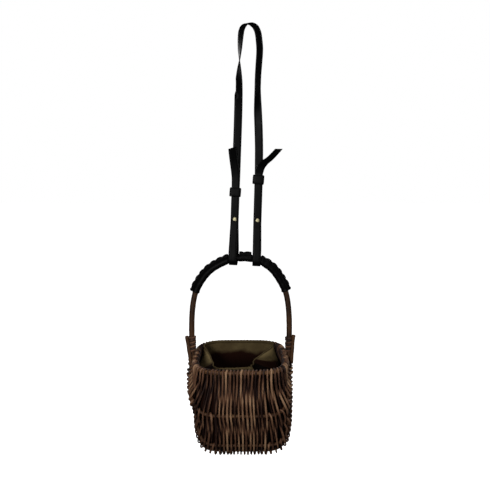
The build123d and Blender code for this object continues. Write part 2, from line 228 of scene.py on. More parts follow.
# ---- materials --------------------------------------------------------------------------
class Shader:
    """A node material, built by small steps."""

    def __init__(self, name):
        self.material = bpy.data.materials.new(name)
        self.material.use_nodes = True
        self.tree = self.material.node_tree
        self.surface = self.tree.nodes["Principled BSDF"]

    def node(self, kind, inputs=None, **settings):
        made = self.tree.nodes.new(kind)
        for key, value in settings.items():
            setattr(made, key, value)
        for key, value in (inputs or {}).items():
            self.feed(value, made.inputs[key])
        return made

    def feed(self, value, socket):
        if isinstance(value, bpy.types.NodeSocket):
            self.tree.links.new(value, socket)
        else:
            socket.default_value = value

    def set(self, **values):
        for key, value in values.items():
            self.feed(value, self.surface.inputs[key.replace("_", " ")])

    def math(self, operation, *values):
        made = self.node("ShaderNodeMath", operation=operation)
        for socket, value in zip(made.inputs, values):
            self.feed(value, socket)
        return made.outputs[0]

    def mix(self, share, a, b):
        made = self.node("ShaderNodeMix", data_type="RGBA")
        self.feed(share, made.inputs[0])
        self.feed(a, made.inputs[6])
        self.feed(b, made.inputs[7])
        return made.outputs[2]

    def ramp(self, value, stops):
        made = self.node("ShaderNodeValToRGB", {"Fac": value})
        points = made.color_ramp.elements
        while len(points) < len(stops):
            points.new(0.5)
        for point, (place, colour) in zip(points, stops):
            point.position = place
            point.color = colour if len(colour) == 4 else (*colour, 1)
        return made.outputs[0]

    def clamp(self, value):
        return self.math("MINIMUM", self.math("MAXIMUM", value, 0.0), 1.0)

    def noise(self, place, scale, detail=3.0, roughness=0.55, distortion=0.0):
        made = self.node("ShaderNodeTexNoise", {"Vector": place, "Scale": scale, "Detail": detail,
                                                "Roughness": roughness, "Distortion": distortion})
        return made.outputs[0]

    def stretched(self, place, scale):
        return self.node("ShaderNodeMapping", {"Vector": place, "Scale": scale}).outputs[0]

    def bump(self, height, strength, distance, before=None):
        inputs = {"Height": height, "Strength": strength, "Distance": distance}
        if before is not None:
            inputs["Normal"] = before
        return self.node("ShaderNodeBump", inputs).outputs[0]


def grey(value):
    return (value, value, value, 1)


def willow_material(name, dark, middle, light, rough=(0.42, 0.68), grain=700.0):
    """Willow in its bark: long streaks, darker knots and a satin skin."""
    s = Shader(name)
    coords = s.node("ShaderNodeTexCoord").outputs
    uv, place = coords["UV"], coords["Object"]
    # "tone" varies at random per rod, and on the weavers it also carries painted shade on the parts that
    # lie inside the weaving
    tone = s.node("ShaderNodeAttribute", attribute_name="tone").outputs["Fac"]
    streak = s.noise(s.stretched(uv, (5.0, 26.0, 1)), 1.0, 5, 0.62)
    patch = s.noise(place, 42.0, 3, 0.6)
    speck = s.noise(place, grain, 2, 0.6)
    level = s.math("ADD", s.math("MULTIPLY", streak, 0.55), s.math("MULTIPLY", patch, 0.35))
    level = s.math("ADD", level, s.math("MULTIPLY", s.math("SUBTRACT", tone, 0.5), 0.75))
    level = s.math("ADD", level, s.math("MULTIPLY", s.math("SUBTRACT", speck, 0.5), 0.22))
    colour = s.ramp(level, ((0.24, dark), (0.5, middle), (0.8, light)))
    s.set(Base_Color=colour)
    spread = s.math("MULTIPLY_ADD", streak, rough[1] - rough[0], rough[0])
    s.set(Roughness=spread, Specular_IOR_Level=0.13)
    fine = s.bump(speck, 0.35, 0.0004)
    long_grain = s.bump(s.noise(s.stretched(uv, (16.0, 34.0, 1)), 1.0, 3), 0.5, 0.0006, fine)
    s.set(Normal=long_grain)
    return s.material


def leather_material(name, colour, rough=0.46, pores=900.0, wrinkles=60.0):
    """Black bridle leather: fine pores, faint creases and a low sheen."""
    s = Shader(name)
    place = s.node("ShaderNodeTexCoord").outputs["Object"]
    cloud = s.noise(place, 55.0, 4, 0.6)
    tint = s.mix(cloud, tuple(c * 0.6 for c in colour) + (1,), tuple(c * 1.7 for c in colour) + (1,))
    s.set(Base_Color=tint)
    s.set(Roughness=s.math("MULTIPLY_ADD", cloud, 0.22, rough - 0.1))
    s.set(Specular_IOR_Level=0.04)
    cells = s.node("ShaderNodeTexVoronoi", {"Vector": place, "Scale": pores}, feature="F1").outputs[0]
    grain = s.bump(cells, 0.25, 0.0002)
    crease = s.bump(s.noise(place, wrinkles, 5, 0.7, 0.6), 0.25, 0.0008, grain)
    s.set(Normal=crease)
    return s.material


def cloth_material(name, band, worn, body, threads=900.0):
    """Cotton canvas: an olive band at the mouth over a dark brown body, crossed threads and blotches from
    use. The dark brown body is partly a darker lower cloth and partly painted shade inside the sack, with
    the band's wavy lower edge as a painted shadow line. "drop" is the distance below the mouth in
    millimetres, moved up or down with the band: below 0 the olive is lightened as a painted highlight on
    the slipped flaps, and past HOLLOW the cloth is nearly black as painted shadow in the gaps beside the
    mouth."""
    s = Shader(name)
    coords = s.node("ShaderNodeTexCoord").outputs
    uv, place = coords["UV"], coords["Object"]
    drop = s.node("ShaderNodeAttribute", attribute_name="drop").outputs["Fac"]
    woven = {"Vector": uv, "Scale": threads, "Distortion": 1.2, "Detail": 1.0}
    warp, weft = (s.node("ShaderNodeTexWave", woven, bands_direction=way).outputs["Fac"]
                  for way in "XY")
    thread = s.math("MULTIPLY", s.math("ADD", warp, weft), 0.5)
    blotch = s.noise(place, 26.0, 4, 0.6)
    olive = s.mix(s.math("MULTIPLY_ADD", blotch, 1.8, -0.45), (*band, 1), (*worn, 1))
    # painted highlight: where the band reaches above the mouth (drop below 0), on the slipped flaps, the
    # olive is lightened
    painted_flap_light = s.clamp(s.math("MULTIPLY", drop, -0.045))
    olive = s.mix(painted_flap_light, olive, (*[c * 2.1 for c in band], 1))
    # painted shade: below the olive band, under a wavy edge, the cloth turns dark brown, partly a darker
    # lower cloth and partly shade inside the sack
    wavy = s.math("ADD", drop, s.math("MULTIPLY_ADD", s.noise(place, 21.0, 3, 0.55), 34.0, -17.0))
    below = s.clamp(s.math("DIVIDE", s.math("SUBTRACT", wavy, BAND), 13.0))
    colour = s.mix(below, olive, (*body, 1))
    # painted shadow: past HOLLOW the cloth is nearly black, for the gaps beside the mouth
    deep = s.clamp(s.math("DIVIDE", s.math("SUBTRACT", wavy, HOLLOW), 9.0))
    colour = s.mix(deep, colour, (*[c * 0.2 for c in body], 1))
    shade = s.math("MULTIPLY_ADD", thread, 0.35, 0.78)
    toned = s.node("ShaderNodeMix", data_type="RGBA", blend_type="MULTIPLY")
    s.feed(1.0, toned.inputs[0])
    s.feed(colour, toned.inputs[6])
    s.feed(shade, toned.inputs[7])
    s.set(Base_Color=toned.outputs[2], Roughness=0.95)
    s.set(Specular_IOR_Level=0.02)
    s.set(Normal=s.bump(thread, 0.3, 0.0003, s.bump(s.noise(place, 130.0, 3), 0.5, 0.001)))
    return s.material


def metal_material(name, colour, rough=0.34):
    """Pale nickelled brass with brushed, slightly worn faces."""
    s = Shader(name)
    place = s.node("ShaderNodeTexCoord").outputs["Object"]
    worn = s.noise(place, 900.0, 3, 0.6)
    s.set(Metallic=1.0, Roughness=s.math("MULTIPLY_ADD", worn, 0.2, rough - 0.1))
    s.set(Base_Color=s.mix(worn, (*[c * 0.8 for c in colour], 1), (*[min(1, c * 1.15) for c in colour], 1)))
    s.set(Normal=s.bump(s.noise(place, 2500.0, 2), 0.12, 0.0002))
    return s.material


weaver_bark = willow_material("weaver_bark", (0.0105, 0.0042, 0.0031), (0.092, 0.043, 0.0235),
                              (0.27, 0.16, 0.09))
rod_bark = willow_material("rod_bark", (0.009, 0.0042, 0.0022), (0.047, 0.0200, 0.0078),
                           (0.15, 0.080, 0.034), rough=(0.45, 0.68))
leather = leather_material("strap_leather", (0.0008, 0.0008, 0.0009))
grip_leather = leather_material("grip_leather", (0.0009, 0.0008, 0.0009), rough=0.5, wrinkles=110.0)
canvas = cloth_material("liner_canvas", (0.068, 0.050, 0.0225), (0.032, 0.0205, 0.0095),
                        (0.0088, 0.0031, 0.0018))
stud_metal = metal_material("stud_metal", (0.27, 0.245, 0.15), rough=0.5)


# ---- the basket's form ------------------------------------------------------------------
def guide_size(beta, out=0.0):
    turned = math.sin(beta) ** 2
    width = RIM_W + (KEEL_W - RIM_W) * turned
    depth = 1 / math.hypot(math.cos(beta) / RIM_DEPTH, math.sin(beta) / KEEL_DEPTH)
    return width + out, depth + out, 4.0 + 3.0 * turned


def tucked(x, z):
    """x with the left side swollen at its shoulder and drawn in below it."""
    left = np.maximum(0, -x / KEEL_W)
    swell = smooth((-8 - z) / 40) * smooth((z + 112) / 26)
    return x + LEFT_TUCK * left * smooth((-90 - z) / 60) - LEFT_BULGE * left ** 3 * swell


def guide_line(beta_deg, theta, out=0.0):
    """The front guide line at beta degrees below the rim, theta from 0 to pi."""
    beta = math.radians(beta_deg)
    width, depth, square = guide_size(beta, out)
    c, s = np.cos(theta), np.sin(theta)
    reach = (np.abs(c) ** square + np.abs(s) ** square) ** (1 / square)
    x, r = -c / reach * width, s / reach * depth
    z = -r * math.sin(beta)
    return np.stack([tucked(x, z) + BASKET_X, -r * math.cos(beta), z + RIM_Z], -1)


class Wall:
    """The middle surface of the weaving, by plane angle and by share of the guide's length."""

    BETAS, SHARES = 46, 241

    def __init__(self):
        rows, self.half = [], []
        for beta in np.linspace(0, KEEL, self.BETAS):
            line = guide_line(beta, np.linspace(0, math.pi, 721))
            run = runs(line)
            even = np.linspace(0, run[-1], self.SHARES)
            rows.append(np.stack([np.interp(even, run, line[:, k]) for k in range(3)], 1))
            self.half.append(run[-1] / 2)
        self.place = np.array(rows)
        down, across = np.gradient(self.place, axis=0), np.gradient(self.place, axis=1)
        normal = np.cross(down, across)
        normal[:, 0], normal[:, -1] = normal[:, 1], normal[:, -2]
        self.normal = normal / np.linalg.norm(normal, axis=2)[..., None]

    def length(self, beta):
        return np.interp(beta, np.linspace(0, KEEL, self.BETAS), self.half)

    def look_up(self, table, beta, share):
        b = np.clip(np.asarray(beta) / KEEL, 0, 1) * (self.BETAS - 1)
        s = np.clip(share, 0, 1) * (self.SHARES - 1)
        i, k = np.minimum(b.astype(int), self.BETAS - 2), np.minimum(s.astype(int), self.SHARES - 2)
        fb, fs = (b - i)[:, None], (s - k)[:, None]
        top = table[i, k] * (1 - fs) + table[i, k + 1] * fs
        low = table[i + 1, k] * (1 - fs) + table[i + 1, k + 1] * fs
        return top * (1 - fb) + low * fb

    def at(self, beta, share, out, side):
        """Points off the surface by out; side is -1 at the front and 1 at the back."""
        place, normal = self.look_up(self.place, beta, share), self.look_up(self.normal, beta, share)
        found = place + unit(normal) * np.asarray(out)[:, None]
        found[:, 1] *= -side
        return found


wall = Wall()
GUIDES = (0.0, UPPER_RIB, LOWER_RIB, KEEL)
RODS = (RIM_R, RIB_R, RIB_R, HOOP_R)


# ---- weaving ----------------------------------------------------------------------------
HALF = 62  # passes over the keel from a joint to the middle
END_ZONE, TURN_ZONE = 20, 50  # passes up to the end of the joint's zone and of the turns' zone
LOOSE = (0.7, 1.2, 1.3, 0.9)  # how unevenly the passes cross each guide, in millimetres
TURN_LEVELS = (2, 1, 2, 0, 2, 0, 2, 1, 2, 0, 2, 0, 1, 2, 0)  # where successive pairs turn back
ZONE_ENDS = ((102 / 201, 147 / 201), (105 / 234, 180 / 234), (107 / 306, 252 / 306),
             (109 / 368, 314 / 368))  # of each guide's half-length


def turn_levels(side):
    """The guide at which each pass turns back: pairs are one pass later at the back."""
    levels = [0] * HALF
    first = END_ZONE if side < 0 else END_ZONE + 1
    for j, level in enumerate(TURN_LEVELS):
        for i in (first + 2 * j, first + 2 * j + 1):
            if i < HALF:
                levels[i] = level
    return levels + levels[::-1]


def pass_shares(levels):
    """For each guide, the share of its length at which each pass crosses it."""
    table = np.zeros((4, 2 * HALF))
    for g in range(4):
        a, b = ZONE_ENDS[g]
        reach = [levels[i] <= g for i in range(HALF)]
        zones = ((0, END_ZONE, 0.0, a), (END_ZONE, TURN_ZONE, a, b), (TURN_ZONE, HALF, b, 1.0))
        for start, end, low, high in zones:
            count = sum(reach[start:end])
            done = 0
            for i in range(start, end):
                table[g, i] = (low + (high - low) * (done + 0.5) / count) / 2
                done += reach[i]
    table[:, HALF:] = 1 - table[:, :HALF][:, ::-1]
    for g, loose in enumerate(LOOSE):
        for i in range(4, 2 * HALF - 4):
            table[g, i] += rng.uniform(-loose, loose) / (2 * wall.length(GUIDES[g]))
    return table


def ribs_crossed(share_upper):
    """How many ribs a pass crosses: beside a joint the ribs haven't begun."""
    away = min(share_upper, 1 - share_upper) * 2 * wall.length(UPPER_RIB)
    return 0 if away < 25 else 1 if away < 50 else 2


def half_pass(i, shares, level):
    """One pass from the keel up to where it turns, as beta, share and offset arrays."""
    ribs = ribs_crossed(shares[1, i])
    crossed = [0, 1, 2, 3] if ribs == 2 else [0, 1, 3] if ribs == 1 else [0, 3]
    outside = 1 if i % 2 == 0 else -1
    signs = {g: outside * (-1) ** n for n, g in enumerate(crossed)}
    crossed = [g for g in crossed if g >= level]
    beta, share, out = [], [], []
    for low, high in zip(crossed[::-1], crossed[::-1][1:]):
        t = np.linspace(0, 1, 25)[:-1]
        beta.append(GUIDES[low] + (GUIDES[high] - GUIDES[low]) * t)
        share.append(shares[low, i] + (shares[high, i] - shares[low, i]) * t)
        reach = [signs[g] * (RODS[g] + 0.95 * WEAVER_R) for g in (low, high)]
        out.append(reach[0] + (reach[1] - reach[0]) * smooth(t ** (0.75 if high == 0 else 1.0)))
    return [np.concatenate(v) for v in (beta, share, out)], signs[level]


def rod_turn(side, g, share_from, share_to, start_sign):
    """A half turn over a rod, from one side of it to the other."""
    a = np.linspace(0, math.pi, 11)
    share = share_from + (share_to - share_from) * smooth(a / math.pi)
    beta = np.full(11, GUIDES[g])
    centre = wall.at(beta, share, np.zeros(11), side)
    outer = wall.at(beta, share, np.ones(11), side) - centre
    above = wall.at(np.full(11, max(GUIDES[g] - 2.0, 0)), share, np.zeros(11), side) - centre
    if g == 0:
        above = np.tile([0.0, 0.0, 1.0], (11, 1))
    above = unit(above)
    reach = RODS[g] + 0.92 * WEAVER_R
    return centre + reach * (start_sign * np.cos(a)[:, None] * outer + np.sin(a)[:, None] * above)


def woven_line():
    """The whole weaving as one line, and the places where its passes cross the keel."""
    levels = {side: turn_levels(side) for side in (-1, 1)}
    shares = {side: pass_shares(levels[side]) for side in (-1, 1)}
    shares[1][3] = shares[-1][3]
    pieces, offsets, keel_marks = [], [], []
    for i in range(2 * HALF):
        parts = {}
        for side in (-1, 1):
            level = levels[side][i]
            (beta, share, out), sign = half_pass(i, shares[side], level)
            wobble = wander(i * 1.7, beta * 0.05, side)
            share = share + wobble * 0.8 / (2 * wall.length(beta))
            out = out + 0.8 * wander(beta * 0.08, i * 2.3, side)
            parts[side] = (wall.at(beta, share, out, side), sign, level, shares[side][level, i], out)
        going_up, coming_down = (-1, 1) if i % 2 == 0 else (1, -1)
        line, _, _, _, out = parts[coming_down]
        pieces.append(line[::-1])
        offsets.append(out[::-1])
        keel_marks.append(sum(map(len, pieces)))
        line, sign, level, share, out = parts[going_up]
        pieces.append(line)
        offsets.append(out)
        if i + 1 < 2 * HALF:
            turn = rod_turn(going_up, level, share, shares[going_up][level, i + 1], sign)
            pieces.append(turn)
            offsets.append(sign * RODS[level] * np.cos(np.linspace(0, math.pi, len(turn))))
    return np.concatenate(pieces), np.concatenate(offsets), keel_marks


def weavers():
    """The weaving cut into single rods, each with its own taper and tone."""
    line, offsets, marks = woven_line()
    cut = [0]
    while cut[-1] < 2 * HALF - 6:
        cut.append(min(cut[-1] + rng.choice((3, 4, 5, 6, 7)), 2 * HALF))
    cut[-1] = 2 * HALF
    for n, (first, last) in enumerate(zip(cut, cut[1:])):
        start = 0 if first == 0 else marks[first] - 6
        end = len(line) if last == 2 * HALF else marks[last] + 6
        path, (out,) = resampled(line[start:end], [offsets[start:end]], 2.2)
        path, (out,) = resampled(relaxed(path, 3), [out], 4.0)
        along = np.linspace(0, 1, len(path))
        if n % 2:
            along = along[::-1]
        radii = WEAVER_R * rng.uniform(0.94, 1.06) * (1.15 - 0.3 * along)
        step = np.arange(len(path))
        radii *= 1 + 0.07 * wander(step * 0.13, n * 5.1, 0)
        verts, faces, uvs = tube(path, radii, 9, v_start=n * 3.1)
        tone = 0.52 + 0.34 * (rng.random() - 0.5) + 0.10 * (1 - along)
        tone += 0.5 * wander(step * 0.035, n * 3.3, 4.0) + 0.25 * wander(step * 0.11, n * 1.9, 8.0)
        # painted shade: the parts of a weaver lying inward of the wall's middle are darkened, as shadow
        # behind the strips in front
        tone -= 0.54 * smooth((1.5 - out) / 6)
        piece = add_mesh(f"weaver_{n + 1:02d}", verts, faces, uvs, {"tone": np.repeat(tone, 9)})
        nodes = ("front_weave", "back_weave") if n == 0 else ()
        finished(piece, "basket", "willow_weaver", weaver_bark, *nodes)


# ---- rods -------------------------------------------------------------------------------
def knotty(name, line, radius, node, first_side=(0, 1, 0), tone=0.5, sides=16, knots=60.0):
    """A willow rod with small swellings where its buds were."""
    run = runs(line)
    swell = np.zeros(len(line))
    place = rng.uniform(10, knots)
    while place < run[-1] - 8:
        swell += rng.uniform(0.03, 0.09) * np.exp(-((run - place) / 3.5) ** 2)
        place += rng.uniform(0.6, 1.4) * knots
    slow = wander(run * 0.02, radius, len(line))
    radii = radius * (0.985 + swell + 0.02 * slow)
    verts, faces, uvs = tube(line, radii, sides, first_side)
    tones = np.repeat(tone + 0.25 * slow, sides)
    piece = add_mesh(name, verts, faces, uvs, {"tone": tones})
    return finished(piece, "basket", "willow_rod", rod_bark, node)


def handle_line():
    return rounded([at(x, 0, z) for x, z in (
        (-KEEL_W, -20), (-KEEL_W, 157), (-89.8, 223.6), (-46.8, 251.2), (-9.5, 262.7),
        (26, 262.7), (64, 248.1), (91.5, 223.8), (KEEL_W, 159), (KEEL_W, -20))])


def hoop_line():
    """Handle and keel in one closed run."""
    theta = np.linspace(0.18, math.pi - 0.18, 160)
    keel = guide_line(KEEL, theta)
    return np.concatenate([handle_line(), keel[::-1]])


def rods():
    hoop, _ = resampled(np.vstack([hoop_line(), hoop_line()[:1]]), [], 4.0)
    knotty("hoop", hoop, HOOP_R, "main_hoop", tone=0.42)
    around = np.linspace(0, math.pi, 80)
    front = guide_line(0, around)
    back = front[::-1] * (1, -1, 1)
    rim, _ = resampled(np.concatenate([front, back]), [], 4.0)
    knotty("rim", rim, RIM_R, "rim_hoop", (0, 0, 1), tone=0.6)
    for where, side in (("front", -1), ("back", 1)):
        for level, beta, start in (("upper", UPPER_RIB, 0.09), ("lower", LOWER_RIB, 0.17)):
            line = guide_line(beta, np.linspace(start, math.pi - start, 90)) * (1, -side, 1)
            knotty(f"{where}_{level}_rib_rod", resampled(line, [], 4.0)[0], RIB_R,
                   f"{where}_{level}_rib")


def side_stakes():
    """A short rod driven in beside each leg of the handle, its cut top slightly rounded."""
    for name, top, foot, radius, knob in (
            ("left", (-138.9, -10.2, 60), (-128.3, -16, -12), 4.6, 0.0),
            ("right", (136.4, -12.7, 63), (131.8, -14, -12), 4.4, 1.3)):
        line, _ = resampled(np.array([at(*top), at(*foot)]), [], 1.5)
        run = runs(line)
        radii = radius * (0.98 + 0.05 * np.sin(run * 0.21)) + knob * np.exp(-(run / 5) ** 2)
        radii[:2] *= (0.82, 0.96)
        verts, faces, uvs = tube(line, radii, 16)
        piece = add_mesh(f"{name}_stake", verts, faces, uvs,
                         {"tone": np.full(len(verts), 0.5)})
        finished(piece, "basket", "willow_rod", rod_bark, f"{name}_side_stake")


def lashings():
    """A stout weaver wound round each leg of the handle above the rim."""
    turns, pitch, low, radius = 7.0, 5.7, 15.2, 2.55
    for name, x, tone in (("left", -KEEL_W, 0.36), ("right", KEEL_W, 0.3)):
        a = np.linspace(0, 2 * math.pi * turns, round(turns * 24))
        uneven = 0.9 * np.sin(a * 0.37 + x) + 0.7 * np.sin(a + 1.0)
        reach = HOOP_R + 0.55 * radius + 0.35 * np.sin(a * 0.61) + 0.25 * np.sin(a * 1.9)
        line = np.stack([x + BASKET_X + reach * np.cos(a), reach * np.sin(a),
                         RIM_Z + low + pitch * a / (2 * math.pi) + uneven], 1)
        radii = radius * (1 + 0.08 * np.sin(a * 0.83 + x))
        verts, faces, uvs = tube(line, radii, 12)
        tones = np.repeat(tone + 0.16 * np.sin(a * 0.45), 12)
        piece = add_mesh(f"{name}_lashing_weaver", verts, faces, uvs, {"tone": tones})
        finished(piece, "basket", "willow_weaver", weaver_bark, f"{name}_lashing")


def corner_wraps():
    """Split rods bound over the rim beside each joint, broad and smooth."""
    # beta, where below 0 is above the rim; bulge outward; length; radius; tone
    strands = ((-3.0, 0.5, 34, 2.9, 0.62), (5.5, 1.6, 46, 3.0, 0.8), (11.5, 1.9, 40, 2.7, 0.55),
               (17.0, 1.5, 48, 2.6, 0.7), (22.0, 1.0, 36, 2.4, 0.45))
    for end in ("left", "right"):
        for side in (-1, 1):
            for n, (beta, lift, long, radius, tone) in enumerate(strands):
                t = np.linspace(0, 1, 26)
                share = (5 + (long - 5) * t) / (2 * wall.length(max(beta, 0)))
                if end == "right":
                    share = 1 - share
                out = RIM_R + 0.4 * radius + lift * np.sin(math.pi * t) - 9.0 * smooth((t - 0.72) / 0.28)
                out = out - 4.0 * smooth((0.2 - t) / 0.2)
                line = wall.at(np.full(26, max(beta, 0.0)), share, out, side)
                line[:, 2] += max(-beta, 0) * 1.4
                verts, faces, uvs = tube(line, radius * (1 + 0.1 * np.sin(7 * t + n)), 10)
                tones = np.repeat(tone + 0.2 * np.sin(5 * t + n), 10)
                where = "front" if side < 0 else "back"
                piece = add_mesh(f"{where}_{end}_corner_wrap_{n + 1}", verts, faces, uvs,
                                 {"tone": tones})
                finished(piece, "basket", "willow_weaver", weaver_bark)


# ---- grip -------------------------------------------------------------------------------
def grip_line():
    line = handle_line()
    left, right = (int(np.argmin(np.linalg.norm(line - at(x, 0, z), axis=1))) for x, z in GRIP_ENDS)
    return resampled(line[left:right + 1], [], 1.2)[0]


def grip_frames(line):
    """Tangents, and directions out of the handle's arch."""
    tangent = tangents(line)
    outward = np.stack([-tangent[:, 2], np.zeros(len(line)), tangent[:, 0]], 1)
    return tangent, outward


def stitch_runs(line):
    """Distances along the grip of its stitches, which leave the strap's loops free."""
    run = runs(line)
    count = round(run[-1] / STITCH_PITCH)
    places = [(i + 0.5) * run[-1] / count for i in range(count)]
    xs = np.interp(places, run, line[:, 0])
    return [p for p, x in zip(places, xs)
            if min(abs(x - LEFT_LOOP[0]), abs(x - RIGHT_LOOP[0])) >= STRAP_W / 2 + 6.5]


def under_strap(x):
    """1 where skin at x lies in a loop of the strap, falling to 0 beside it."""
    sides = [np.minimum(x - loop[0] - min(splay), loop[0] + max(splay) - x) + STRAP_W / 2
             for loop, splay in ((LEFT_LOOP, LEFT_SPLAY), (RIGHT_LOOP, RIGHT_SPLAY))]
    return np.max([smooth((side + LOOP_SPARE) / LOOP_RAMP) for side in sides], axis=0)


def grip():
    """Leather folded round the handle, its raised seam drawn in at every stitch and cut back
    where the strap's loops turn round it."""
    line = grip_line()
    run = runs(line)
    _, outward = grip_frames(line)
    across = np.array([0.0, 1.0, 0.0])
    stitches = stitch_runs(line)
    nearest = np.min(np.abs(run[:, None] - np.array(stitches)[None]), axis=1)
    gather = np.exp(-(nearest / 3.4) ** 2)
    end = np.minimum(run, run[-1] - run)
    flare = 0.7 * np.exp(-(end / 3.0) ** 2)
    sides = 36
    angle = np.linspace(-math.pi, math.pi, sides, endpoint=False) + math.pi / sides
    seam = np.exp(-(np.abs(angle) / 0.27) ** 2.6)
    shoulder = np.exp(-(np.abs(angle) / 0.6) ** 2)
    top = FLANGE_TOP + 0.6 - 2.5 * gather + 0.25 * np.sin(run * 1.9)
    top -= 2.2 * np.exp(-(end / 2.2) ** 2)
    skin = GRIP_R + (FLANGE_TOP - GRIP_R) * seam
    pressed = under_strap(line[:, 0][:, None] + outward[:, 0][:, None] * (np.cos(angle) * skin)[None])
    top = top[:, None] * (1 - pressed) + GRIP_R * pressed
    body = GRIP_R - 0.15 + flare + 0.18 * np.sin(run * 0.37)
    rise = shoulder[None] * 0.9 * (1 - gather)[:, None] * (1 - pressed)
    shell = body[:, None] - LOOP_SQUEEZE * pressed + rise
    reach = shell + (top - shell) * seam[None]
    reach += 0.16 * wander(run[:, None] * 0.25, angle * 1.3, 2.0) * (1 - seam[None])
    ring = (outward[:, None] * np.cos(angle)[None, :, None] + across * np.sin(angle)[None, :, None])
    verts = (line[:, None] + ring * reach[..., None]).reshape(-1, 3)
    faces = ring_faces(len(line), sides)
    inner = HOOP_R + 0.15
    for station, flip in ((0, True), (len(line) - 1, False)):
        first = len(verts)
        rim = line[station] + ring[station] * inner
        verts = np.concatenate([verts, rim])
        base = station * sides
        for k in range(sides):
            quad = [base + k, base + (k + 1) % sides, first + (k + 1) % sides, first + k]
            faces.append(quad[::-1] if flip else quad)
    piece = add_mesh("grip_cover", verts, faces, flat_uvs(verts))
    finished(piece, "basket", "black_leather", grip_leather, "grip_sleeve")


def thong(line, tangent, width, thick):
    """A flat lace swept along a closed loop, with its width along the grip."""
    sides = 8
    middle = line.mean(0)
    steps = unit(np.roll(line, -1, 0) - np.roll(line, 1, 0))
    out = np.cross(tangent, steps)
    out *= np.sign(np.sum(out * (line - middle), axis=1))[:, None]
    a = np.linspace(0, 2 * math.pi, sides, endpoint=False) + math.pi / sides
    u = squared(np.cos(a), 0.6) * width / 2
    v = squared(np.sin(a), 0.6) * thick / 2
    verts = line[:, None] + tangent * u[None, :, None] + out[:, None] * v[None, :, None]
    return verts.reshape(-1, 3), sides


def grip_lace():
    """One stitch of the lace at a time: up one side of the seam, over it and down the other."""
    line = grip_line()
    run = runs(line)
    tangent, outward = grip_frames(line)
    stitches = stitch_runs(line)
    verts, faces, count, steps = [], [], 0, 20
    for n, place in enumerate(stitches):
        i = int(np.argmin(np.abs(run - place)))
        lean = 0.55 * tangent[i]
        a = np.linspace(0, 2 * math.pi, steps, endpoint=False)
        y = 3.1 * squared(np.sin(a), 0.7)
        n_out = LACE_MIDDLE + 2.3 * squared(np.cos(a), 0.7)
        loop = line[i] + outward[i] * n_out[:, None] + np.array([0, 1.0, 0]) * y[:, None]
        loop = loop + lean * y[:, None] * (1 if n % 2 else -1) * 0.4
        made, sides = thong(loop, tangent[i], 3.0, 1.3)
        faces += ring_faces(steps, sides, offset=count, looped=True)
        verts.append(made)
        count += len(made)
    verts = np.concatenate(verts)
    piece = add_mesh("grip_lace", verts, faces, flat_uvs(verts))
    finished(piece, "basket", "black_leather", grip_leather, "grip_lacing")


# ---- strap ------------------------------------------------------------------------------
def leg_x(z, left):
    """Where the middle of a leg of the strap is at height z."""
    low, lean = (LEFT_LOOP, LEFT_LEAN) if left else (RIGHT_LOOP, RIGHT_LEAN)
    return low[0] + lean * (z - low[1])


def strap_route():
    """Stations of the strap's middle line: x, y, z and the turn of its width about Z."""
    half = (STRAP_T + STRAP_GAP) / 2

    def loop_turn(loop, splay):
        r = LOOP_R + STRAP_T / 2
        return [(loop[0] + SWING_DROP * r * math.sin(a) + splay[0] + (splay[1] - splay[0]) * a / math.pi,
                 -r * math.cos(a), loop[1] - r * math.sin(a), 0)
                for a in (math.pi * i / 8 for i in range(9))]

    def rise(left, front):
        keeper = LEFT_KEEPER if left else RIGHT_KEEPER
        heights = ((-548, 12.6, 1.15), (-520, 7.2, 0.72), (-500, 3.4, 0.4), (-486, 1.9, 0.12),
                   (-474, half + 0.03, 0), (-462, half, 0), (-440, half, 0), (-410, half, 0),
                   (keeper[0] + keeper[1] / 2 + 2, half, 0))
        sign = -1 if front else 1
        spread = (LEFT_SPLAY if left else RIGHT_SPLAY)[0 if front else 1]
        return [(leg_x(z, left) + share * spread, sign * y, z, 0) for z, y, share in heights]

    left_tail = [(-43.6, -14.0, -283, 26), (-40.4, -9.2, -312, 16), (-36.2, -4.2, -343, 6),
                 (-34.2, -1.9, -364, 1)]
    left_leg = [(-33.0, half, -355, 0), (-31.0, 1.3, -300, 2), (-29.0, 0.8, -245, 3),
                (-27.6, 0.0, -200, 6), (-26.8, -2.0, -165, 14), (-26.0, -4.0, -135, 34),
                (-25.2, -6.0, -108, 62), (-24.2, -8.0, -84, 92), (-23.4, -10.0, -60, 116),
                (-22.0, -11.5, -36, 128), (-19.4, -11.3, -17, 133)]
    crown = [(-14.2, -8.8, -5.6, 135), (-7.3, -4.6, -0.2, 135), (0, 0, 1.3, 135),
             (7.4, 4.6, -0.2, 135), (14.6, 8.8, -5.6, 135)]
    right_leg = [(20.0, 11.4, -17, 136), (23.0, 11.8, -36, 138), (24.4, 11.0, -58, 139),
                 (22.6, 9.0, -88, 138), (20.6, 7.0, -118, 135), (19.6, 4.6, -150, 133),
                 (19.8, 2.6, -178, 144), (20.6, 1.0, -208, 166), (22.2, 0.9, -245, 175),
                 (23.4, 1.2, -290, 178), (23.3, half, -330, 180)]
    right_tail = [(24.6, -2.6, -349, 3), (29.0, -5.2, -337, 11), (37.6, -8.6, -327, 22),
                  (49.6, -12.0, -317.5, 32), (62.8, -15.0, -304, 37), (76.0, -17.5, -289, 40),
                  (85.5, -19.5, -276, 42)]
    route = left_tail + rise(True, True)[::-1] + loop_turn(LEFT_LOOP, LEFT_SPLAY) + rise(True, False)
    route += left_leg + crown + right_leg
    turned = rise(False, False)[::-1]
    turned += [(x, -y, z, 0) for x, y, z, _ in loop_turn(RIGHT_LOOP, RIGHT_SPLAY[::-1])]
    turned += rise(False, True) + right_tail
    return np.array(route + [(x, y, z, 180 + turn) for x, y, z, turn in turned], float)


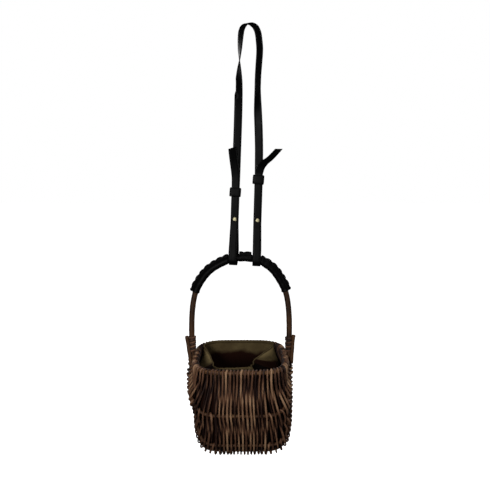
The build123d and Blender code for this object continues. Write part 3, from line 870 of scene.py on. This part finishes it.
def strap_line(step):
    """The route as a smooth line, with the turn at each point."""
    route = strap_route()
    place, turn = route[:, :3], route[:, 3]
    fine, turns = [], []
    for i in range(len(route) - 1):
        before, after = max(i - 1, 0), min(i + 2, len(route) - 1)
        a, b = place[i], place[i + 1]
        long = np.linalg.norm(b - a)
        start = (b - place[before]) * long / np.linalg.norm(b - place[before])
        end = (place[after] - a) * long / np.linalg.norm(place[after] - a)
        t = np.linspace(0, 1, 13)[:-1, None]
        fine.append((2 * t**3 - 3 * t**2 + 1) * a + (t**3 - 2 * t**2 + t) * start
                    + (3 * t**2 - 2 * t**3) * b + (t**3 - t**2) * end)
        turns.append(turn[i] + (turn[i + 1] - turn[i]) * t[:, 0])
    fine = np.concatenate([*fine, place[-1:]])
    line, (turns,) = resampled(fine, [np.concatenate([*turns, turn[-1:]])], step)
    return line, turns


def strap_profile():
    """The strap's section: rounded edges, and a shallow crease inside each edge."""
    w, t = STRAP_W / 2, STRAP_T / 2
    top = [(-w, 0.0), (-w + 0.25, 0.75 * t), (-w + 0.9, t), (-w + 1.7, t), (-w + 2.15, 0.72 * t),
           (-w + 2.6, t), (-5.0, t), (0, t), (5.0, t), (w - 2.6, t), (w - 2.15, 0.72 * t),
           (w - 1.7, t), (w - 0.9, t), (w - 0.25, 0.75 * t)]
    return np.array(top + [(-x, -y) for x, y in top])


def strap():
    """The whole strap as one band that turns about its line, crumpled at the crown."""
    line, turns = strap_line(2.0)
    tangent = tangents(line)
    c, s = np.cos(np.radians(turns)), np.sin(np.radians(turns))
    wide = np.stack([c, s, SWING_DROP * c], 1)
    wide -= tangent * np.sum(wide * tangent, axis=1)[:, None]
    wide = unit(wide)
    thick = np.cross(tangent, wide)
    profile = strap_profile()
    run = runs(line)
    crown_run = run[np.argmax(line[:, 2])]
    crumple = np.exp(-((run - crown_run) / 42) ** 2)
    grid = np.zeros((len(line), len(profile), 3))
    for k, (u, v) in enumerate(profile):
        off = 0.10 * wander(run * 0.055, u * 0.11, 1.5)
        off += crumple * 0.55 * wander(run * 0.22, u * 0.06, 7.5)
        grid[:, k] = line + wide * u + thick * (v + off)[:, None]
    verts = grid.reshape(-1, 3)
    sides = len(profile)
    faces = ring_faces(len(line), sides)
    faces += [list(range(sides))[::-1], list(range((len(line) - 1) * sides, len(line) * sides))]
    uvs = np.stack([np.tile(profile[:, 0] * MM, len(line)), np.repeat(run * MM, sides)], 1)
    piece = add_mesh("long_strap", verts, faces, uvs)
    cut_tails(piece)
    finished(piece, "carrier", "black_leather", leather, "strap")


def cut_tails(piece):
    """Trims both tail ends: the left one on a slant, the right one level."""
    mesh = bmesh.new()
    mesh.from_mesh(piece.data)
    for corner, normal, keep in (
            ((-45, 0, LEFT_TAIL_END), (-0.35, 0, 1), lambda p: p.x < -0.034 and p.y < -0.0045),
            ((90, 0, RIGHT_TAIL_END), (0, 0, 1), lambda p: p.x > 0.045)):
        near = [f for f in mesh.faces
                if keep(f.calc_center_median()) and f.calc_center_median().z > -0.33]
        parts = set(near)
        for f in near:
            parts.update(f.edges)
            parts.update(f.verts)
        bmesh.ops.bisect_plane(mesh, geom=list(parts), plane_co=Vector(corner) * MM,
                               plane_no=Vector(normal), clear_outer=True)
    open_edges = [e for e in mesh.edges if e.is_boundary]
    bmesh.ops.holes_fill(mesh, edges=open_edges, sides=0)
    mesh.to_mesh(piece.data)
    mesh.free()


def keeper(left):
    """A leather band on the doubled strap, its faces slightly crowned."""
    z, long = LEFT_KEEPER if left else RIGHT_KEEPER
    up = np.array([leg_x(z + 1, left) - leg_x(z, left), 0, 1.0])
    up /= np.linalg.norm(up)
    side = np.array([up[2], 0, -up[0]])
    back = np.array([0, 1.0, 0])
    centre = np.array([leg_x(z, left), 0, z]) - side * KEEPER_SHIFT
    up, side = up + side * KEEPER_TILT, side - up * KEEPER_TILT
    wide, deep, wall_t = STRAP_W / 2 + 1.5, STRAP_T + STRAP_GAP / 2 + 0.35, 2.4
    section = [(0, -0.5), (0, 0.5), (0.28, 0.5), (0.75, 0.47), (1.0, 0.42), (1.0, 0.2), (1.0, 0),
               (1.0, -0.2), (1.0, -0.42), (0.75, -0.47), (0.28, -0.5)]
    around = 56
    a = np.linspace(0, 2 * math.pi, around, endpoint=False)
    rings = []
    for depth, height in section:
        w, d = wide + depth * wall_t, deep + depth * wall_t
        square = 9.0 - 4.5 * depth
        c, s = np.cos(a), np.sin(a)
        x, y = squared(c, 2 / square) * w, squared(s, 2 / square) * d
        swell = 1 + 0.02 * (1 - (2 * height) ** 2)
        rings.append(centre + side * (x * swell)[:, None] + back * y[:, None]
                     + up * (height * long))
    verts = np.concatenate(rings)
    faces = ring_faces(len(section), around, looped=True)
    name = "left_keeper" if left else "right_keeper"
    piece = add_mesh(name + "_band", verts, faces, flat_uvs(verts))
    finished(piece, name, "black_leather", leather, name)


# ---- liner ------------------------------------------------------------------------------
LINER_LEVELS = (  # height, half-width, half-depth, squareness
    (5, 100, 98, 4), (-30, 102, 97, 4), (-90, 106, 90, 4), (-140, 108, 79, 4),
    (-182, 106, 63, 4), (-214, 99, 43, 3.5), (-231, 83, 23, 3))
LINER_GAP = 9.6  # from the middle of the weaving to the cloth


def wall_tree():
    """The middle surface of both halves of the weaving, to find how far the cloth can go."""
    grid = wall.place.reshape(-1, 3)
    rows, columns = wall.BETAS, wall.SHARES
    faces = ring_faces(rows, columns, closed=False)
    faces += ring_faces(rows, columns, closed=False, offset=len(grid))
    return BVHTree.FromPolygons(np.concatenate([grid, grid * (1, -1, 1)]).tolist(), faces)


def bearing_points(z, around):
    """Directions from the basket's middle, spread evenly round the sack's squarish section."""
    levels = np.array(LINER_LEVELS, float)
    w, d, n = (np.interp(-z, -levels[:, 0], levels[:, k]) for k in (1, 2, 3))
    c, s = np.cos(around), np.sin(around)
    return squared(c, 2 / n) * w, squared(s, 2 / n) * d


def sack_ring(tree, z, around):
    """A loop of cloth lying inside the wall at a height below the rim's middle."""
    x, y = bearing_points(z, around)
    middle = Vector((BASKET_X, 0, min(z, -2.0) + RIM_Z))
    ring = np.zeros((len(around), 3))
    for k in range(len(around)):
        way = Vector((x[k], y[k], 0)).normalized()
        hit, normal, _, _ = tree.ray_cast(middle, way)
        normal = normal if normal.dot(way) > 0 else -normal
        reach = (hit - middle).length - LINER_GAP / max(normal.dot(way), 0.45)
        ring[k] = middle + way * max(reach, 6.0)
    ring[:, 2] = z + RIM_Z
    return ring


# The band depths set where the painted shade below the olive begins; the -290 entries paint a black shadow
# in the gaps beside the mouth, and the deepest bands lighten the slipped flaps as a painted highlight.
MOUTH = (  # bearing from +X to the back, share of the way to the wall, height, depth of the olive
    # band; a band of -280 or less reaches past HOLLOW
    (0, 0.33, -9, 6), (12, 0.42, -6, 26), (23, 0.53, -2, 42), (29, 0.62, 1, 46), (35, 0.84, 6, 44),
    (44, 1.0, 10, 30), (60, 1.0, 10, 25), (90, 1.0, 10, 24), (125, 1.0, 10, 24), (147, 1.0, 10, 28),
    (157, 0.86, 4, 42), (173, 0.75, -3, 44), (188, 0.70, -6, 40), (198, 0.68, -7, 30),
    (204, 0.67, -7, -290), (222, 0.70, -5, -290), (229, 0.76, -1, 18), (241, 0.94, 5, 20),
    (250, 1.0, 8, 14), (270, 1.0, 8, 12), (279, 1.0, 9, 20), (288, 0.82, 7, 40), (297, 0.50, -2, 36),
    (303, 0.42, -7, -290), (326, 0.33, -10, -290), (348, 0.31, -10, -290), (354, 0.32, -10, 4))


def mouth(ring):
    """The share of the way to the wall, the height and the band's depth round the mouth: it
    stands on the rim at the back and front, and has slipped inward at both sides."""
    bearing = np.degrees(np.arctan2(ring[:, 1], ring[:, 0] - BASKET_X)) % 360
    table = np.array(MOUTH, float)
    found = [np.interp(bearing, table[:, 0], table[:, k], period=360) for k in (1, 2, 3)]
    for _ in range(6):
        found = [(np.roll(v, 1) + 2 * v + np.roll(v, -1)) / 4 for v in found]
    return found


def liner():
    """The sack, hung from its hem with soft folds; its mouth has slipped inward at both sides."""
    around = np.linspace(0, 2 * math.pi, 300, endpoint=False) + 0.004  # off the wall's seams
    tree = wall_tree()
    depths = np.concatenate([np.linspace(0, 60, 26), np.linspace(66, 238, 34)])
    open_ring = sack_ring(tree, 0, around)
    reach, height, band = mouth(open_ring)
    centre = np.array([BASKET_X, 0])
    slack = np.clip(1 - reach, 0, 1)
    rings, drop, run_down = [], [], BAND - band
    for depth in depths:
        share = depth / depths[-1]
        loose = np.exp(-((depth / (15 + 13 * slack)) ** 1.5))
        ring = sack_ring(tree, -depth, around)
        c, s = np.cos(around), np.sin(around)
        folds = wander(c * 3.6, s * 3.6, share * 1.6) + 0.6 * wander(c * 10, s * 10, share * 3)
        inset = 3.0 * (0.5 + folds) * smooth(share * 6) * (1 - 0.4 * share)
        inset = np.maximum(inset, 0) + np.sin(around * 31 + 5 * folds) * slack * loose * 3.0
        flat = ring[:, :2] - centre
        size = np.linalg.norm(flat, axis=1)
        keep = (1 + (reach - 1) * loose) * (1 - inset / size)
        ring[:, :2] = centre + flat * keep[:, None]
        ring[:, 2] += height * loose + 1.2 * folds * smooth(share * 8)
        if rings:
            run_down = run_down + np.linalg.norm(ring - rings[-1], axis=1)
        rings.append(ring)
        drop.append(run_down)
    for shrink in (0.75, 0.45, 0.15):
        base = rings[len(depths) - 1]
        middle = base.mean(0)
        ring = middle + (base - middle) * (shrink + (1 - shrink) * np.array([0.55, 0, 1.0]))
        rings.append(ring)
        drop.append(run_down + 20)
    verts = np.concatenate(rings)
    count = len(around)
    faces = ring_faces(len(rings), count)
    run = around / (2 * math.pi) * 0.72
    uvs = np.concatenate([np.stack([run, d * MM], 1) for d in drop])
    faces.append([(len(rings) - 1) * count + k for k in range(count)])
    piece = add_mesh("liner_sack", verts, [f[::-1] for f in faces], uvs,
                     {"drop": np.concatenate(drop)})
    thicken = piece.modifiers.new("thickness", "SOLIDIFY")
    thicken.thickness, thicken.offset = 0.0012, 0.0
    finished(piece, "basket", "liner_cloth", canvas, "liner")
    hem = hem_band(around, rings[0])


def hem_band(around, top):
    """The doubled edge at the mouth."""
    line = relaxed(np.vstack([top, top[:1]]), 2)[:-1]
    profile = [(-1.1, 1.2), (0, 1.7), (1.1, 1.2), (1.4, 0.2), (1.25, -6.5), (-1.25, -6.5), (-1.4, 0.2)]
    steps = np.roll(line, -1, 0) - np.roll(line, 1, 0)
    out = unit(np.stack([steps[:, 1], -steps[:, 0], np.zeros(len(line))], 1))
    verts = np.concatenate([line + out * u + np.array([0, 0, 1.0]) * v for u, v in profile])
    count, rows = len(line), len(profile)
    faces = ring_faces(rows, count, looped=True)
    run = around / (2 * math.pi) * 0.72
    uvs = np.concatenate([np.stack([run, np.full(count, v * MM)], 1) for _, v in profile])
    piece = add_mesh("liner_hem_band", verts, faces, uvs, {"drop": np.zeros(len(verts))})
    return finished(piece, "basket", "liner_cloth", canvas, "liner_hem")


def studs():
    for side in ("left", "right"):
        for part in ("post", "screw"):
            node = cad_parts[f"{side}_stud_{part}"]
            node.data.materials.clear()
            node.data.materials.append(stud_metal)


# ---- stage ------------------------------------------------------------------------------
def plain_material(name, value, glow):
    s = Shader(name)
    s.set(Base_Color=grey(value), Roughness=0.9, Emission_Color=grey(1.0), Emission_Strength=glow)
    return s.material


def floor():
    size, under = 12000.0, cad_box[0].z / MM - 260
    verts = [(-size, -size, under), (size, -size, under), (size, size, under), (-size, size, under)]
    piece = add_mesh("floor", verts, [[0, 1, 2, 3]], smooth_faces=False)
    piece.data.materials.append(plain_material("floor_paint", 0.6, 1.0))
    piece.visible_diffuse = piece.visible_glossy = False


def softbox(name, place, target, size, power):
    data = bpy.data.lights.new(name, "AREA")
    data.shape, data.size, data.energy = "DISK", size, power
    lamp = bpy.data.objects.new(name, data)
    bpy.context.scene.collection.objects.link(lamp)
    lamp.location = Vector(place)
    lamp.rotation_euler = (Vector(target) - lamp.location).to_track_quat("-Z", "Y").to_euler()


def studio():
    """A backdrop white to the camera and dim as a light, with four soft lamps."""
    world = bpy.data.worlds.new("studio")
    bpy.context.scene.world = world
    world.use_nodes = True
    backdrop = world.node_tree.nodes["Background"]
    backdrop.inputs[0].default_value = grey(1.0)
    ray = world.node_tree.nodes.new("ShaderNodeLightPath")
    level = world.node_tree.nodes.new("ShaderNodeMapRange")
    world.node_tree.links.new(ray.outputs["Is Camera Ray"], level.inputs["Value"])
    level.inputs["To Min"].default_value, level.inputs["To Max"].default_value = 0.06, 1.0
    world.node_tree.links.new(level.outputs[0], backdrop.inputs[1])
    softbox("key", (-0.55, -2.1, -0.30), (0, 0, -0.85), 0.5, 42)
    softbox("top", (0.5, -0.9, 0.7), (0, 0, -0.8), 0.7, 12)
    softbox("back_left", (-1.3, 1.5, 0.1), (0, 0, -0.8), 0.9, 22)
    softbox("back_right", (1.6, 0.9, -0.3), (0, 0, -0.8), 0.9, 14)
    bpy.context.scene.view_settings.view_transform = "Standard"


CAMERA_PLACE, CAMERA_DOWN = (-11.2, -1400.0, -321.2), 8.63  # how many degrees it looks down


def camera():
    data = bpy.data.cameras.new("camera")
    data.sensor_width, data.lens = 36.0, 41.1
    data.clip_start, data.clip_end = 0.05, 60.0
    view = bpy.data.objects.new("camera", data)
    bpy.context.scene.collection.objects.link(view)
    view.location = Vector(CAMERA_PLACE) * MM
    view.rotation_euler = (math.radians(90 - CAMERA_DOWN), 0, 0)
    bpy.context.scene.camera = view


camera()
rods()
side_stakes()
weavers()
lashings()
corner_wraps()
grip()
grip_lace()
strap()
keeper(True)
keeper(False)
studs()
liner()
floor()
studio()
